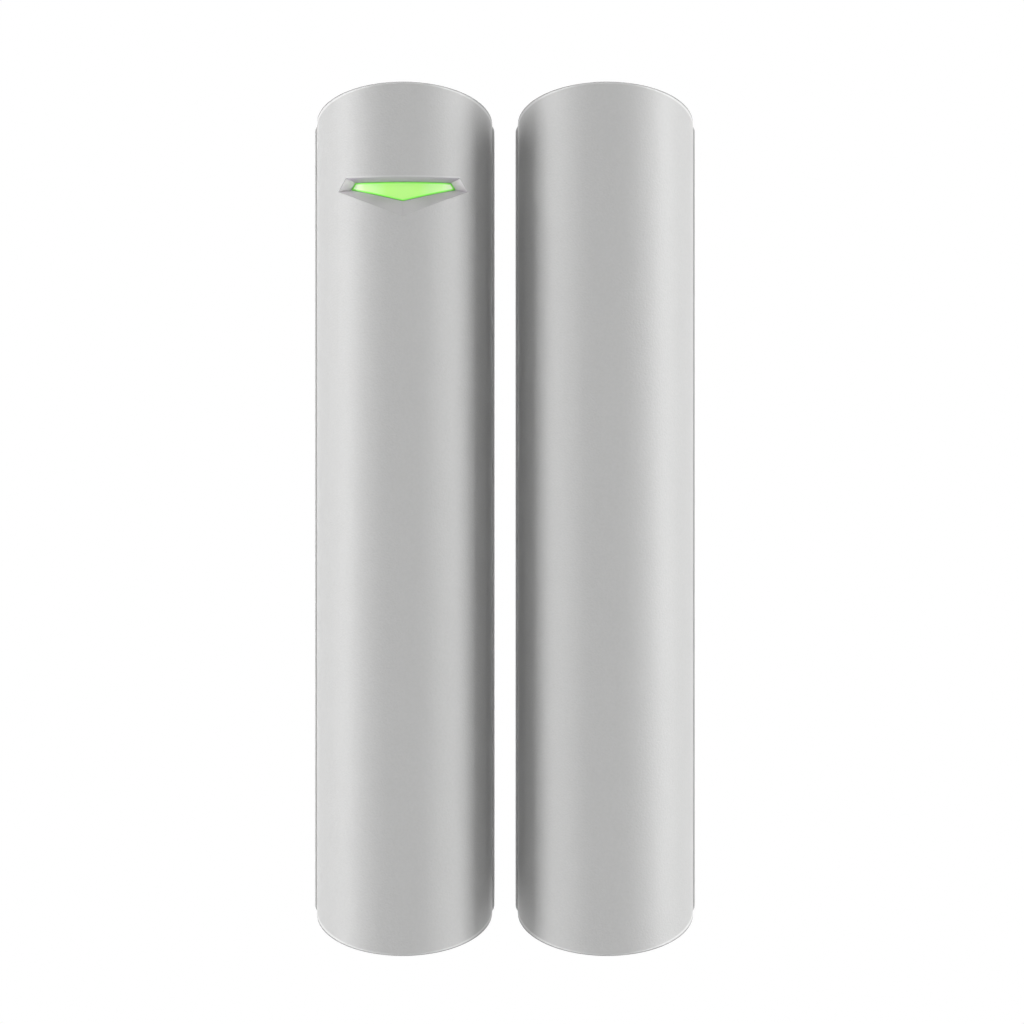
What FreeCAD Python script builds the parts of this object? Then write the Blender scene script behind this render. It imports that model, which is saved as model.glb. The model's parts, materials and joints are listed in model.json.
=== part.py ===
"""Wireless door sensor: a slim reed-switch sensor and its matching magnet, side by side as they are
fixed to a door frame and a door leaf.

Millimetres. +Z is up and +X is to the right, seen from the front. The wall is the plane y = 0 and
the front faces -Y. The origin is the middle of the sensor's wall plate, on the wall.
"""

import FreeCAD, Part
import math
import os

V = FreeCAD.Vector

# Battery: it sets the section of both housings
battery_diameter = 16.8
battery_length = 34.5
battery_nub_diameter = 6.4
battery_nub_height = 0.6
battery_clearance = 0.1

# Housings
end_slope_deg = 21.0
front_wall = 1.0
rear_wall = 1.1
end_wall = 1.2
side_step = 0.22
rear_corner_radius = 4.0
rim_round = 0.28
rear_edge_round = 0.1
rear_end_round = 1.0
unit_gap = 2.3

# Lip of the rear cover in the rabbet of the front cover
lip_thickness = 0.5
lip_height = 1.3
lip_clearance = 0.05

# Snap clips of the front cover
clip_thickness = 0.8
clip_width = 3.0
clip_depth = 2.9
clip_barb = 0.5
clip_barb_height = 1.0
clip_root = 3.0
clip_clearance = 0.1
clip_pocket_play = 0.2
upper_clip_from_top = 13.5
middle_clip_above_board = 3.4
lower_clip_from_bottom = 8.0

# Wall plates and their hooks
plate_thickness = 1.8
plate_gap = 0.1
plate_above_terminal = 1.5
plate_width = 11.2
plate_corner_radius = 3.0
plate_edge_chamfer = 0.3
screw_hole_radius = 1.8
screw_head_radius = 3.1
screw_spacing = 56.0
hook_width = 1.3
hook_inset = 0.45
hook_stem_height = 2.0
hook_foot_length = 3.5
hook_foot_thickness = 0.7
hook_spacing = 44.0
hook_play = 0.1
slide_travel = 4.0

# Tamper tab of the sensor's plate
tab_width = 7.0
tab_length = 12.4
tab_slit = 0.7
tab_bridge = 0.9
tab_hole_radius = 1.6
tab_hole_below_plunger = 6.2
tab_head_radius = 2.8

# Indicator recess: seen from the front, a five-sided mouth that narrows to the lit window
window_from_top = 11.44
window_top_half_width = 5.13
window_half_width = 5.6
window_rise = 0.76
window_drop = 1.32
mouth_top_half_width = 6.11
mouth_half_width = 6.9
mouth_rise = 1.16
mouth_side_drop = 0.23
mouth_drop = 3.02
recess_depth = 1.3
recess_wall = 0.9
boss_margin = 0.4
mouth_round = 0.1

# Light guide
guide_clearance = 0.05
guide_flange = 0.5
guide_back_from_axis = 3.0
guide_stem_width = 7.0
guide_stem_height = 1.5
guide_tip_width = 3.0
guide_tip_height = 2.0
guide_led_gap = 0.15

# Circuit board
board_thickness = 1.0
board_length = 36.7
board_half_width = 7.3
board_above_battery = 3.0
board_end_clearance = 0.9
board_rise = 5.5
post_radius = 1.6
post_x = 5.6
lower_post_above_board = 3.5
upper_post_below_top = 3.3
board_hole_radius = 1.1
board_screw_radius = 0.9
board_screw_pilot_play = 0.03
board_screw_length = 4.5
board_screw_head_radius = 1.6
board_screw_head_height = 1.1

# Switches behind the board
switch_size = 6.0
switch_body_height = 2.6
switch_stem_radius = 1.7
switch_stem_depth = 0.6
switch_stem_play = 0.05
switch_pocket_reserve = 0.2
tamper_above_board = 6.5
tamper_travel = 0.5
tamper_hole_play = 0.2
tamper_plate_gap = 0.05
power_above_tamper = 8.0
power_travel = 0.4
power_cap_radius = 2.5
power_cap_play = 0.15
power_cap_recess = 0.2
power_flange_radius = 3.3
power_flange_thickness = 0.6

# External contact terminal
terminal_width = 7.2
terminal_height = 3.4
terminal_below_top = 5.0
terminal_recess = 0.5
terminal_play = 0.2
terminal_pitch = 3.5
wire_hole_radius = 0.7
wire_hole_depth = 3.5
release_size = 1.1
release_offset = 0.85
release_play = 0.05
release_depth = 1.6
release_travel = 0.6
release_reserve = 0.2
cable_notch_width = 8.4
cable_notch_height = 3.6

# Components in front of the board
led_width = 3.2
led_height = 2.6
led_thickness = 1.2
shield_width = 6.2
shield_height = 8.0
shield_thickness = 2.2
shield_wall = 0.25
shield_x = -1.6
shield_above_board = 9.5
radio_chip_size = 5.0
radio_chip_thickness = 0.9
controller_size = 5.0
controller_thickness = 0.9
controller_x = -1.2
controller_below_window = 7.0
crystal_width = 1.6
crystal_height = 2.0
crystal_thickness = 0.6
crystal_x = -5.0
capacitor_width = 1.6
capacitor_height = 0.8
capacitor_pitch = 1.8
capacitor_x = 3.9
reed_radius = 1.1
reed_glass_wall = 0.3
reed_glass_length = 10.0
reed_lead_radius = 0.25
reed_lead_play = 0.02
reed_lead_reach = 2.4
reed_blade_width = 1.0
reed_blade_thickness = 0.2
reed_blade_overlap = 1.0
reed_height = 1.4
reed_outer_x = 6.0
reed_pitch = 3.0
reed_above_board = 14.0
antenna_thickness = 0.4
antenna_height = 3.4
antenna_length = 22.0
antenna_foot = 1.6
antenna_leg_width = 1.5
antenna_x = 6.5
antenna_above_board = 7.5

# Battery contacts
contact_thickness = 0.25
contact_width = 5.0
contact_foot = 3.0
contact_reach = 5.0
contact_bend = 0.6
battery_from_bottom = 12.0
spring_space = 2.4
spring_wire_radius = 0.3
spring_large_radius = 3.4
spring_small_radius = 2.0
spring_turns = 2.5
spring_flat = 0.05
plate_contact_thickness = 0.3
plate_contact_half_width = 5.0
plate_contact_front = 3.6
strap_width = 1.8
strap_half_offset = 7.2
strap_from_wall = 1.1
contact_rib_thickness = 0.8
rib_thickness = 1.0
rib_heights_on_cell = (4.3, 18.3)
battery_rib_height = 5.5
rib_play = 0.1

# Bar magnet
magnet_length = 40.0
magnet_width = 6.0
magnet_depth = 9.0
magnet_from_clips = 0.2
magnet_from_wall = 1.6
magnet_play = 0.1
magnet_rib_wall = 1.0
magnet_rib_step = 24.0
magnet_rib_height = 5.0

# Places worked out from the sizes above
battery_radius = battery_diameter / 2
inner_radius = battery_radius + battery_clearance
front_radius = inner_radius + front_wall
half_width = front_radius + side_step
rear_face_y = -(plate_thickness + plate_gap)
rear_inner_y = rear_face_y - rear_wall
axis_y = rear_inner_y - inner_radius
front_y = axis_y - front_radius
rear_inner_half_width = half_width - rear_wall
end_slope = math.tan(math.radians(end_slope_deg))
end_wall_z = end_wall / math.cos(math.radians(end_slope_deg))
unit_pitch = 2 * half_width + unit_gap
board_rear_y = rear_inner_y - board_rise
board_front_y = board_rear_y - board_thickness
board_top_to_tip = board_end_clearance + end_wall_z + (board_rear_y - front_y) * end_slope
cell_and_board = battery_length + board_above_battery + board_length
body_length = battery_from_bottom + cell_and_board + board_top_to_tip
half_length = body_length / 2
battery_bottom_z = battery_from_bottom - half_length
battery_top_z = battery_bottom_z + battery_length
board_bottom_z = battery_top_z + board_above_battery
board_top_z = board_bottom_z + board_length
window_z = half_length - window_from_top
window_radius = front_radius - recess_depth
guide_back_y = axis_y - guide_back_from_axis
far = 4 * body_length


def end_height(y, inset=0.0):
    """Height of the upper end plane at depth y, inset along Z. The lower end mirrors it."""
    return half_length - (y - front_y) * end_slope - inset


clip_outer_x = math.sqrt(inner_radius**2 - lip_height**2) - clip_clearance
clip_tip_y = axis_y + clip_depth
tamper_z = board_bottom_z + tamper_above_board
power_z = tamper_z + power_above_tamper
terminal_z = board_top_z - terminal_below_top
plate_length = 2 * (terminal_z + plate_above_terminal)
lower_post_z = board_bottom_z + lower_post_above_board
upper_post_z = board_top_z - upper_post_below_top
slot_length = hook_stem_height + slide_travel + 2 * hook_play
hook_outer_x = plate_width / 2 - hook_inset
hook_foot_y = rear_inner_y - hook_play


def box(x0, x1, y0, y1, z0, z1):
    return Part.makeBox(x1 - x0, y1 - y0, z1 - z0, V(x0, y0, z0))


def cylinder_y(x, z, radius, y0, y1):
    """A cylinder along +Y from y0 to y1."""
    return Part.makeCylinder(radius, y1 - y0, V(x, y0, z), V(0, 1, 0))


def prism_z(edges, z0, z1):
    """A closed outline in the XY plane, drawn up from z0 to z1."""
    face = Part.Face(Part.Wire(edges))
    face.translate(V(0, 0, z0))
    return face.extrude(V(0, 0, z1 - z0))


def prism_x(points, half):
    """A closed polygon of (y, z) points, drawn from -half to +half along X."""
    corners = [V(-half, y, z) for y, z in points]
    return Part.Face(Part.makePolygon(corners + corners[:1])).extrude(V(2 * half, 0, 0))


def fuse(first, *others):
    for other in others:
        first = first.fuse(other)
    return first.removeSplitter()


def cut(first, *others):
    for other in others:
        first = first.cut(other)
    return first


# Housing envelope

def between_ends(inset):
    """The side view of the housing between its two oblique ends, moved in by inset along Z."""
    y0, y1 = front_y - 1, 1
    return prism_x(
        [
            (y0, end_height(y0, inset)),
            (y1, end_height(y1, inset)),
            (y1, -end_height(y1, inset)),
            (y0, -end_height(y0, inset)),
        ],
        2 * half_width,
    )


def front_half(radius, inset):
    """The half round front of the housing, cut by the oblique ends."""
    left, nose, right = V(-radius, axis_y, 0), V(0, axis_y - radius, 0), V(radius, axis_y, 0)
    edges = [Part.Arc(left, nose, right).toShape(), Part.LineSegment(right, left).toShape()]
    return prism_z(edges, -half_length, half_length).common(between_ends(inset))


def rear_half(half, rear_y, corner, inset):
    """The rear of the housing: straight sides, two round corners and a flat back."""
    bend = corner * (1 - math.sqrt(0.5))
    right_points = [
        V(half, axis_y, 0),
        V(half, rear_y - corner, 0),
        V(half - bend, rear_y - bend, 0),
        V(half - corner, rear_y, 0),
    ]
    left_points = [V(-p.x, p.y, 0) for p in right_points]
    edges = [
        Part.LineSegment(right_points[0], right_points[1]).toShape(),
        Part.Arc(*right_points[1:]).toShape(),
        Part.LineSegment(right_points[3], left_points[3]).toShape(),
        Part.Arc(*reversed(left_points[1:])).toShape(),
        Part.LineSegment(left_points[1], left_points[0]).toShape(),
        Part.LineSegment(left_points[0], right_points[0]).toShape(),
    ]
    return prism_z(edges, -half_length, half_length).common(between_ends(inset))


def front_cavity(grow=0.0):
    grow_z = grow / math.cos(math.radians(end_slope_deg))
    return front_half(inner_radius + grow, end_wall_z - grow_z)


def rear_cavity():
    return rear_half(
        rear_inner_half_width, rear_inner_y, rear_corner_radius - rear_wall, end_wall_z
    )


def slab_y(y0, y1):
    return box(-far, far, y0, y1, -far, far)


# Covers

def on_end_plane(edge):
    """True where the whole edge lies in one of the two oblique end planes."""
    return all(
        abs(abs(point.z) - end_height(point.y)) < 1e-4 for point in edge.discretize(5)
    )


def front_outside():
    """The round front with its two elliptical rims rounded over."""
    solid = front_half(front_radius, 0.0)
    rims = [
        edge
        for edge in solid.Edges
        if on_end_plane(edge) and abs(edge.CenterOfMass.y - axis_y) > 0.1
    ]
    return solid.makeFillet(rim_round, rims)


def rear_outside():
    """The rear with its end edges rounded, and a fine round on the step that shows from the front."""
    solid = rear_half(half_width, rear_face_y, rear_corner_radius, 0.0)
    ends = [
        edge
        for edge in solid.Edges
        if on_end_plane(edge) and abs(edge.CenterOfMass.y - axis_y) > 0.1
    ]
    solid = solid.makeFillet(rear_end_round, ends)
    steps = [
        edge
        for edge in solid.Edges
        if abs(abs(edge.CenterOfMass.x) - half_width) < 1e-3
        and abs(edge.CenterOfMass.y - axis_y) < 1e-3
        and edge.Length > half_length
    ]
    return solid.makeFillet(rear_edge_round, steps)


def clip_heights():
    """Heights of the snap clips, the same on both sides."""
    return [
        half_length - upper_clip_from_top,
        board_bottom_z + middle_clip_above_board,
        lower_clip_from_bottom - half_length,
    ]


def clip(side, z):
    """One springy clip, rooted in the front's wall, with a wedge barb that points outwards."""
    inner_x, outer_x = clip_outer_x - clip_thickness, clip_outer_x
    root_y = axis_y - clip_root
    outline = [
        V(inner_x, root_y, z - clip_width / 2),
        V(outer_x, root_y, z - clip_width / 2),
        V(outer_x, clip_tip_y - clip_barb_height, z - clip_width / 2),
        V(outer_x + clip_barb, clip_tip_y - clip_barb_height, z - clip_width / 2),
        V(outer_x, clip_tip_y, z - clip_width / 2),
        V(inner_x, clip_tip_y, z - clip_width / 2),
    ]
    face = Part.Face(Part.makePolygon(outline + outline[:1]))
    solid = face.extrude(V(0, 0, clip_width))
    return solid if side > 0 else solid.mirror(V(0, 0, 0), V(1, 0, 0))


def clip_pocket(side, z):
    """The undercut in the rear cover's side wall that a barb snaps into."""
    x0 = rear_inner_half_width - rear_wall / 2
    x1 = clip_outer_x + clip_barb + clip_clearance
    half = clip_width / 2 + clip_pocket_play
    y0 = clip_tip_y - clip_barb_height - clip_clearance
    pocket = box(x0, x1, y0, clip_tip_y + clip_clearance, z - half, z + half)
    return pocket if side > 0 else pocket.mirror(V(0, 0, 0), V(1, 0, 0))


def plain_front_cover():
    """The moulded front: a thin half round shell, a rabbet for the lip and six clips."""
    rabbet = front_cavity(lip_thickness + lip_clearance).common(
        slab_y(axis_y - lip_height - lip_clearance, axis_y + 1)
    )
    shell = cut(front_outside(), front_cavity(), rabbet)
    return fuse(shell, *[clip(side, z) for z in clip_heights() for side in (-1, 1)])


def plain_rear_cover():
    """The moulded rear: a tray with the lip, clip pockets and four slots for the plate's hooks."""
    lip = front_cavity(lip_thickness).common(slab_y(axis_y - lip_height, axis_y)).cut(front_cavity())
    tray = fuse(rear_outside().cut(rear_cavity()), lip)
    pockets = [clip_pocket(side, z) for z in clip_heights() for side in (-1, 1)]
    return cut(tray, *pockets, *hook_slots())


# Wall plate

def hook_heights():
    """Top of each hook's stem: one pair below the middle and one above it."""
    return [-hook_spacing / 2, hook_spacing / 2]


def hook(side, stem_top_z):
    """A hook on the wall plate. Its foot points up and lies behind the rear cover's wall."""
    x0, x1 = sorted((side * hook_outer_x, side * (hook_outer_x - hook_width)))
    stem_z = stem_top_z - hook_stem_height
    foot_y = hook_foot_y - hook_foot_thickness
    stem = box(x0, x1, foot_y, -plate_thickness / 2, stem_z, stem_top_z)
    foot = box(x0, x1, foot_y, hook_foot_y, stem_z, stem_top_z + hook_foot_length)
    return fuse(stem, foot)


def hook_slots():
    slots = []
    for stem_top_z in hook_heights():
        for side in (-1, 1):
            x0, x1 = sorted((side * (hook_outer_x + hook_play), side * (hook_outer_x - hook_width - hook_play)))
            top = stem_top_z + hook_play
            slots.append(box(x0, x1, rear_inner_y - 0.5, rear_face_y + 0.5, top - slot_length, top))
    return slots


def screw_hole(z, hole_radius, head_radius):
    """A countersunk hole. Its 45 degree cone opens towards the housing."""
    depth = head_radius - hole_radius
    cone = Part.makeCone(head_radius, hole_radius, depth, V(0, -plate_thickness, z), V(0, 1, 0))
    return fuse(cone, cylinder_y(0, z, hole_radius, -plate_thickness, 1))


def plain_plate():
    """The wall plate shared by both units: a round-cornered strip with four hooks and two holes."""
    half_w, half_l = plate_width / 2, plate_length / 2
    plate = box(-half_w, half_w, -plate_thickness, 0, -half_l, half_l)
    corners = [edge for edge in plate.Edges if abs(edge.tangentAt(edge.FirstParameter).y) > 0.99]
    plate = plate.makeFillet(plate_corner_radius, corners)
    front_edges = [edge for edge in plate.Edges if edge.BoundBox.YMax < -plate_thickness + 1e-6]
    plate = plate.makeChamfer(plate_edge_chamfer, front_edges)
    hooks = [hook(side, z) for z in hook_heights() for side in (-1, 1)]
    holes = [
        screw_hole(side * screw_spacing / 2, screw_hole_radius, screw_head_radius)
        for side in (-1, 1)
    ]
    return cut(fuse(plate, *hooks), *holes)


def tamper_tab_slits():
    """Four slits round the break-out tab. The bridges between their ends tear off with the tab."""
    top = tamper_z + switch_stem_radius + 1.2
    bottom = top - tab_length
    half = tab_width / 2
    y0, y1 = -plate_thickness - 1, 1
    upright = [
        box(x, x + tab_slit, y0, y1, bottom + tab_bridge, top - tab_bridge)
        for x in (-half - tab_slit, half)
    ]
    level = [
        box(-half + tab_bridge, half - tab_bridge, y0, y1, z, z + tab_slit)
        for z in (bottom - tab_slit, top)
    ]
    return upright + level


def sensor_wall_plate():
    tab_hole = screw_hole(tamper_z - tab_hole_below_plunger, tab_hole_radius, tab_head_radius)
    half = cable_notch_width / 2
    notch_z = plate_length / 2 - cable_notch_height
    notch = box(-half, half, -plate_thickness - 1, 1, notch_z, plate_length / 2 + 1)
    return cut(plain_plate(), *tamper_tab_slits(), tab_hole, notch)


# Indicator recess and light guide

def window_outline():
    """Corners of the lit window as (x, z), clockwise from the left end of its top edge."""
    top, low = window_z + window_rise, window_z - window_drop
    return [
        (-window_top_half_width, top),
        (window_top_half_width, top),
        (window_half_width, window_z),
        (0.0, low),
        (-window_half_width, window_z),
    ]


def mouth_outline():
    """Corners of the recess's mouth on the round front, in the same order."""
    top, side, low = window_z + mouth_rise, window_z - mouth_side_drop, window_z - mouth_drop
    return [
        (-mouth_top_half_width, top),
        (mouth_top_half_width, top),
        (mouth_half_width, side),
        (0.0, low),
        (-mouth_half_width, side),
    ]


def outline_at(radius):
    """The recess's outline where it crosses a cylinder of that radius about the housing's axis."""
    share = (radius - window_radius) / recess_depth
    return [
        (x0 + share * (x1 - x0), z0 + share * (z1 - z0))
        for (x0, z0), (x1, z1) in zip(window_outline(), mouth_outline())
    ]


def grown(outline, margin):
    """A convex outline with every side moved out by a margin."""
    lines = []
    for (x0, z0), (x1, z1) in zip(outline, outline[1:] + outline[:1]):
        length = math.hypot(x1 - x0, z1 - z0)
        out_x, out_z = -(z1 - z0) / length, (x1 - x0) / length
        lines.append((out_x, out_z, out_x * x0 + out_z * z0 + margin))
    corners = []
    for (a1, b1, c1), (a2, b2, c2) in zip(lines[-1:] + lines[:-1], lines):
        det = a1 * b2 - a2 * b1
        corners.append(((c1 * b2 - c2 * b1) / det, (a1 * c2 - a2 * c1) / det))
    return corners


def prism_y(outline, y0, y1):
    """A front-view outline of (x, z) corners, drawn back from y0 to y1."""
    corners = [V(x, y0, z) for x, z in outline]
    return Part.Face(Part.makePolygon(corners + corners[:1])).extrude(V(0, y1 - y0, 0))


def rod(radius):
    """A full cylinder about the housing's axis."""
    return Part.makeCylinder(radius, 2 * half_length, V(0, axis_y, -half_length))


def round_patch(radius):
    """The piece of a cylinder about the axis that fills the recess's outline at that radius."""
    block = rod(radius).common(prism_y(outline_at(radius), front_y - 2, axis_y))
    return [face for face in block.Faces if isinstance(face.Surface, Part.Cylinder)][0]


def side_edge(patch, start, end):
    """The patch's edge whose front view runs between two corners."""
    def miss(edge):
        ends = [(vertex.X, vertex.Z) for vertex in edge.Vertexes]
        return min(
            math.dist(ends[0], start) + math.dist(ends[1], end),
            math.dist(ends[1], start) + math.dist(ends[0], end),
        )
    return min(patch.Edges, key=miss)


def recess():
    """The recess: five ruled walls between the window's and the mouth's outlines."""
    radii = (window_radius, front_radius + recess_depth / 4)
    inner, outer = [round_patch(radius) for radius in radii]
    low, high = [outline_at(radius) for radius in radii]
    walls = []
    for index in range(len(low)):
        following = (index + 1) % len(low)
        walls.append(Part.makeRuledSurface(
            side_edge(inner, low[index], low[following]),
            side_edge(outer, high[index], high[following]),
        ))
    shell = Part.makeShell([inner, outer, *walls])
    shell.sewShape()
    solid = Part.makeSolid(shell)
    return solid if solid.Volume > 0 else solid.reversed()


def on_mouth(edge):
    """True for the five edges where the recess's walls meet the round front."""
    return all(
        abs(math.hypot(point.x, point.y - axis_y) - front_radius) < 1e-3
        and abs(point.z - window_z) < mouth_drop + boss_margin
        for point in edge.discretize(5)
    )


def sensor_front_cover():
    """The front cover with the indicator recess moulded into its round face."""
    ring = rod(front_radius - front_wall / 2).cut(rod(window_radius - recess_wall))
    boss = prism_y(grown(mouth_outline(), boss_margin), front_y, guide_back_y).common(ring)
    opening = prism_y(window_outline(), front_y - 1, guide_back_y + 1)
    cover = cut(fuse(plain_front_cover(), boss), recess(), opening).removeSplitter()
    return cover.makeFillet(mouth_round, [edge for edge in cover.Edges if on_mouth(edge)])


def loft_y(width0, height0, y0, width1, height1, y1, z):
    """A block that tapers between two rectangles at depths y0 and y1."""
    wires = []
    for width, height, y in ((width0, height0, y0), (width1, height1, y1)):
        w, h = width / 2, height / 2
        points = [V(-w, y, z - h), V(w, y, z - h), V(w, y, z + h), V(-w, y, z + h)]
        wires.append(Part.makePolygon(points + points[:1]))
    return Part.makeLoft(wires, True, True)


def light_guide():
    """Clear moulding: its round lit face fills the window, and a tapered stem brings the light."""
    face = prism_y(grown(window_outline(), -guide_clearance), front_y - 1, guide_back_y).common(
        rod(window_radius)
    )
    flange = prism_y(grown(window_outline(), guide_flange), front_y - 1, guide_back_y).common(
        rod(window_radius - recess_wall - guide_clearance)
    )
    tip_y = board_front_y - led_thickness - guide_led_gap
    stem = loft_y(
        guide_stem_width, guide_stem_height, guide_back_y - 0.2,
        guide_tip_width, guide_tip_height, tip_y, window_z,
    )
    return fuse(face, flange, stem)


# Rear cover of the sensor

def battery_space(play):
    return Part.makeCylinder(
        battery_radius + play, battery_length + 2 * play,
        V(0, axis_y, battery_bottom_z - play), V(0, 0, 1),
    )


def cross_rib(z, thickness, front_limit_y):
    """A rib across the rear cover's tray, from its back wall to front_limit_y."""
    slab = box(-half_width, half_width, front_limit_y, 0, z - thickness / 2, z + thickness / 2)
    return rear_cavity().common(slab)


def hook_path(side, stem_top_z):
    """The room a hook takes up behind the rear cover's wall over the whole slide."""
    x0, x1 = sorted((side * (hook_outer_x + hook_play), side * (hook_outer_x - hook_width - hook_play)))
    z0 = stem_top_z - hook_stem_height - slide_travel - hook_play
    z1 = stem_top_z + hook_foot_length + hook_play
    return box(x0, x1, hook_foot_y - hook_foot_thickness - hook_play, 0, z0, z1)


def saddle_ribs():
    """Two ribs that carry the battery, open wherever a hook passes."""
    hollows = [battery_space(rib_play)]
    hollows += [hook_path(side, stem_top_z) for stem_top_z in hook_heights() for side in (-1, 1)]
    return [
        cut(cross_rib(battery_bottom_z + z, rib_thickness, rear_inner_y - battery_rib_height), *hollows)
        for z in rib_heights_on_cell
    ]


def posts():
    return [
        (side * post_x, z) for z in (lower_post_z, upper_post_z) for side in (-1, 1)
    ]


def screwed_posts():
    """Two of the four posts take a screw, on a diagonal."""
    return [(-post_x, lower_post_z), (post_x, upper_post_z)]


def strap_space(play):
    x0 = -strap_half_offset - play
    x1 = -strap_half_offset + strap_width + play
    y1 = rear_inner_y - strap_from_wall
    return box(
        x0, x1, y1 - plate_contact_thickness - play, y1 + play,
        contact_plate_z - 1, board_bottom_z,
    )


contact_plate_z = battery_bottom_z - spring_space - plate_contact_thickness


def sensor_rear_cover():
    """The tray with board posts, battery cradle and the openings of the switches and terminal."""
    cover = plain_rear_cover()
    half = clip_outer_x - clip_thickness - clip_clearance
    contact_rib = box(
        -half, half, axis_y, 0, contact_plate_z - contact_rib_thickness, contact_plate_z
    ).common(rear_cavity())
    root_y = rear_inner_y + rear_wall / 4
    stands = [cylinder_y(x, z, post_radius, board_rear_y, root_y) for x, z in posts()]
    cover = fuse(cover, *saddle_ribs(), contact_rib, *stands)
    pilots = [
        cylinder_y(
            x, z, board_screw_radius + board_screw_pilot_play,
            board_rear_y - 1, board_front_y + board_screw_length + board_screw_pilot_play,
        )
        for x, z in screwed_posts()
    ]
    tamper_hole = cylinder_y(
        0, tamper_z, switch_stem_radius + tamper_hole_play, rear_inner_y - 1, 0
    )
    power_hole = cylinder_y(0, power_z, power_cap_radius + power_cap_play, rear_inner_y - 1, 0)
    half_x = terminal_width / 2 + terminal_play
    half_z = terminal_height / 2 + terminal_play
    window = box(
        -half_x, half_x, rear_inner_y - 1, 0, terminal_z - half_z, terminal_z + half_z
    )
    return cut(cover, *pilots, tamper_hole, power_hole, window, strap_space(rib_play))


# Battery and its contacts

def battery_cell():
    """A lithium cell with a rounded can and a raised positive nub, turned about its axis."""
    edge = 0.5
    can_top = battery_length - battery_nub_height
    nub_radius = battery_nub_diameter / 2
    points = [
        (0, 0), (battery_radius - edge, 0), (battery_radius, edge), (battery_radius, can_top - edge),
        (battery_radius - edge, can_top), (nub_radius, can_top), (nub_radius, battery_length),
        (0, battery_length),
    ]
    corners = [V(x, axis_y, battery_bottom_z + z) for x, z in points]
    face = Part.Face(Part.makePolygon(corners + corners[:1]))
    return face.revolve(V(0, axis_y, 0), V(0, 0, 1), 360)


def battery_top_contact():
    """A bent leaf: soldered to the front of the board, with its tongue on the battery's nub."""
    y1, y0 = board_front_y, board_front_y - contact_reach
    z0, z1 = battery_top_z, board_bottom_z + contact_foot
    half = contact_width / 2
    block = box(-half, half, y0, y1, z0, z1)
    hollow = box(-half - 1, half + 1, y0 - 1, y1 - contact_thickness, z0 + contact_thickness, z1 + 1)
    leaf = cut(block, hollow)

    def along_x(y, z):
        return [
            edge
            for edge in leaf.Edges
            if abs(edge.CenterOfMass.y - y) < 1e-6 and abs(edge.CenterOfMass.z - z) < 1e-6
        ]

    outer = along_x(y1, z0)
    leaf = leaf.makeFillet(contact_bend, outer)
    inner = along_x(y1 - contact_thickness, z0 + contact_thickness)
    return leaf.makeFillet(contact_bend - contact_thickness, inner)


def battery_bottom_contact():
    """A plate under the spring and a long strap up the corner of the tray to the board."""
    t = plate_contact_thickness
    y1 = rear_inner_y - strap_from_wall
    x0, x1 = -strap_half_offset, -strap_half_offset + strap_width
    z0 = contact_plate_z
    front = axis_y - plate_contact_front
    plate = box(x0, plate_contact_half_width, front, y1, z0, z0 + t)
    top_z = board_bottom_z - 1.2
    strap = box(x0, x1, y1 - t, y1, z0, top_z)
    bridge = box(x0, x1, board_rear_y, y1, top_z - t, top_z)
    foot = box(x0, x1, board_rear_y, board_rear_y + t, top_z - t, board_bottom_z + 1.2)
    return fuse(plate, strap, bridge, foot)


def battery_spring():
    """A conical coil between the contact plate and the battery's base, ends ground flat."""
    z0 = contact_plate_z + plate_contact_thickness
    rise = spring_space - 2 * spring_wire_radius + 2 * spring_flat
    pitch = rise / spring_turns
    cone = math.degrees(math.atan((spring_large_radius - spring_small_radius) / rise))
    helix = Part.makeHelix(pitch, rise, spring_large_radius, -cone)
    start = V(spring_large_radius, 0, 0)
    circle = Part.Wire(Part.Circle(start, V(0, 1, 0), spring_wire_radius).toShape())
    coil = Part.Wire(helix.Edges).makePipeShell([circle], True, True)
    coil.translate(V(0, axis_y, z0 + spring_wire_radius - spring_flat))
    return coil.common(box(-half_width, half_width, front_y, 0, z0, z0 + spring_space))


# Circuit board and what is on it

def circuit_board():
    board = box(
        -board_half_width, board_half_width, board_front_y, board_rear_y,
        board_bottom_z, board_top_z,
    )
    holes = [
        cylinder_y(x, z, board_hole_radius, board_front_y - 1, board_rear_y + 1)
        for x, z in screwed_posts()
    ]
    return cut(board, *holes)


def board_screws():
    screws = []
    for x, z in screwed_posts():
        head = cylinder_y(
            x, z, board_screw_head_radius, board_front_y - board_screw_head_height, board_front_y
        )
        shank = cylinder_y(
            x, z, board_screw_radius, board_front_y, board_front_y + board_screw_length
        )
        slot = box(
            x - board_screw_head_radius, x + board_screw_head_radius,
            board_front_y - board_screw_head_height - 1, board_front_y - board_screw_head_height / 2,
            z - 0.2, z + 0.2,
        )
        screws.append(fuse(head, shank).cut(slot))
    return Part.makeCompound(screws)


def on_front(x, z, width, height, thickness):
    """A flat component on the front of the board."""
    return box(
        x - width / 2, x + width / 2, board_front_y - thickness, board_front_y,
        z - height / 2, z + height / 2,
    )


def indicator_led():
    return on_front(0, window_z, led_width, led_height, led_thickness)


def radio_shield():
    z = board_bottom_z + shield_above_board
    can = on_front(shield_x, z, shield_width, shield_height, shield_thickness)
    inside = on_front(
        shield_x, z, shield_width - 2 * shield_wall, shield_height - 2 * shield_wall,
        shield_thickness - shield_wall,
    )
    return can.cut(inside)


def radio_chip():
    z = board_bottom_z + shield_above_board
    return on_front(shield_x, z, radio_chip_size, radio_chip_size, radio_chip_thickness)


def controller_chip():
    z = window_z - controller_below_window
    return on_front(controller_x, z, controller_size, controller_size, controller_thickness)


def crystal():
    z = window_z - controller_below_window
    return on_front(crystal_x, z, crystal_width, crystal_height, crystal_thickness)


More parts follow.
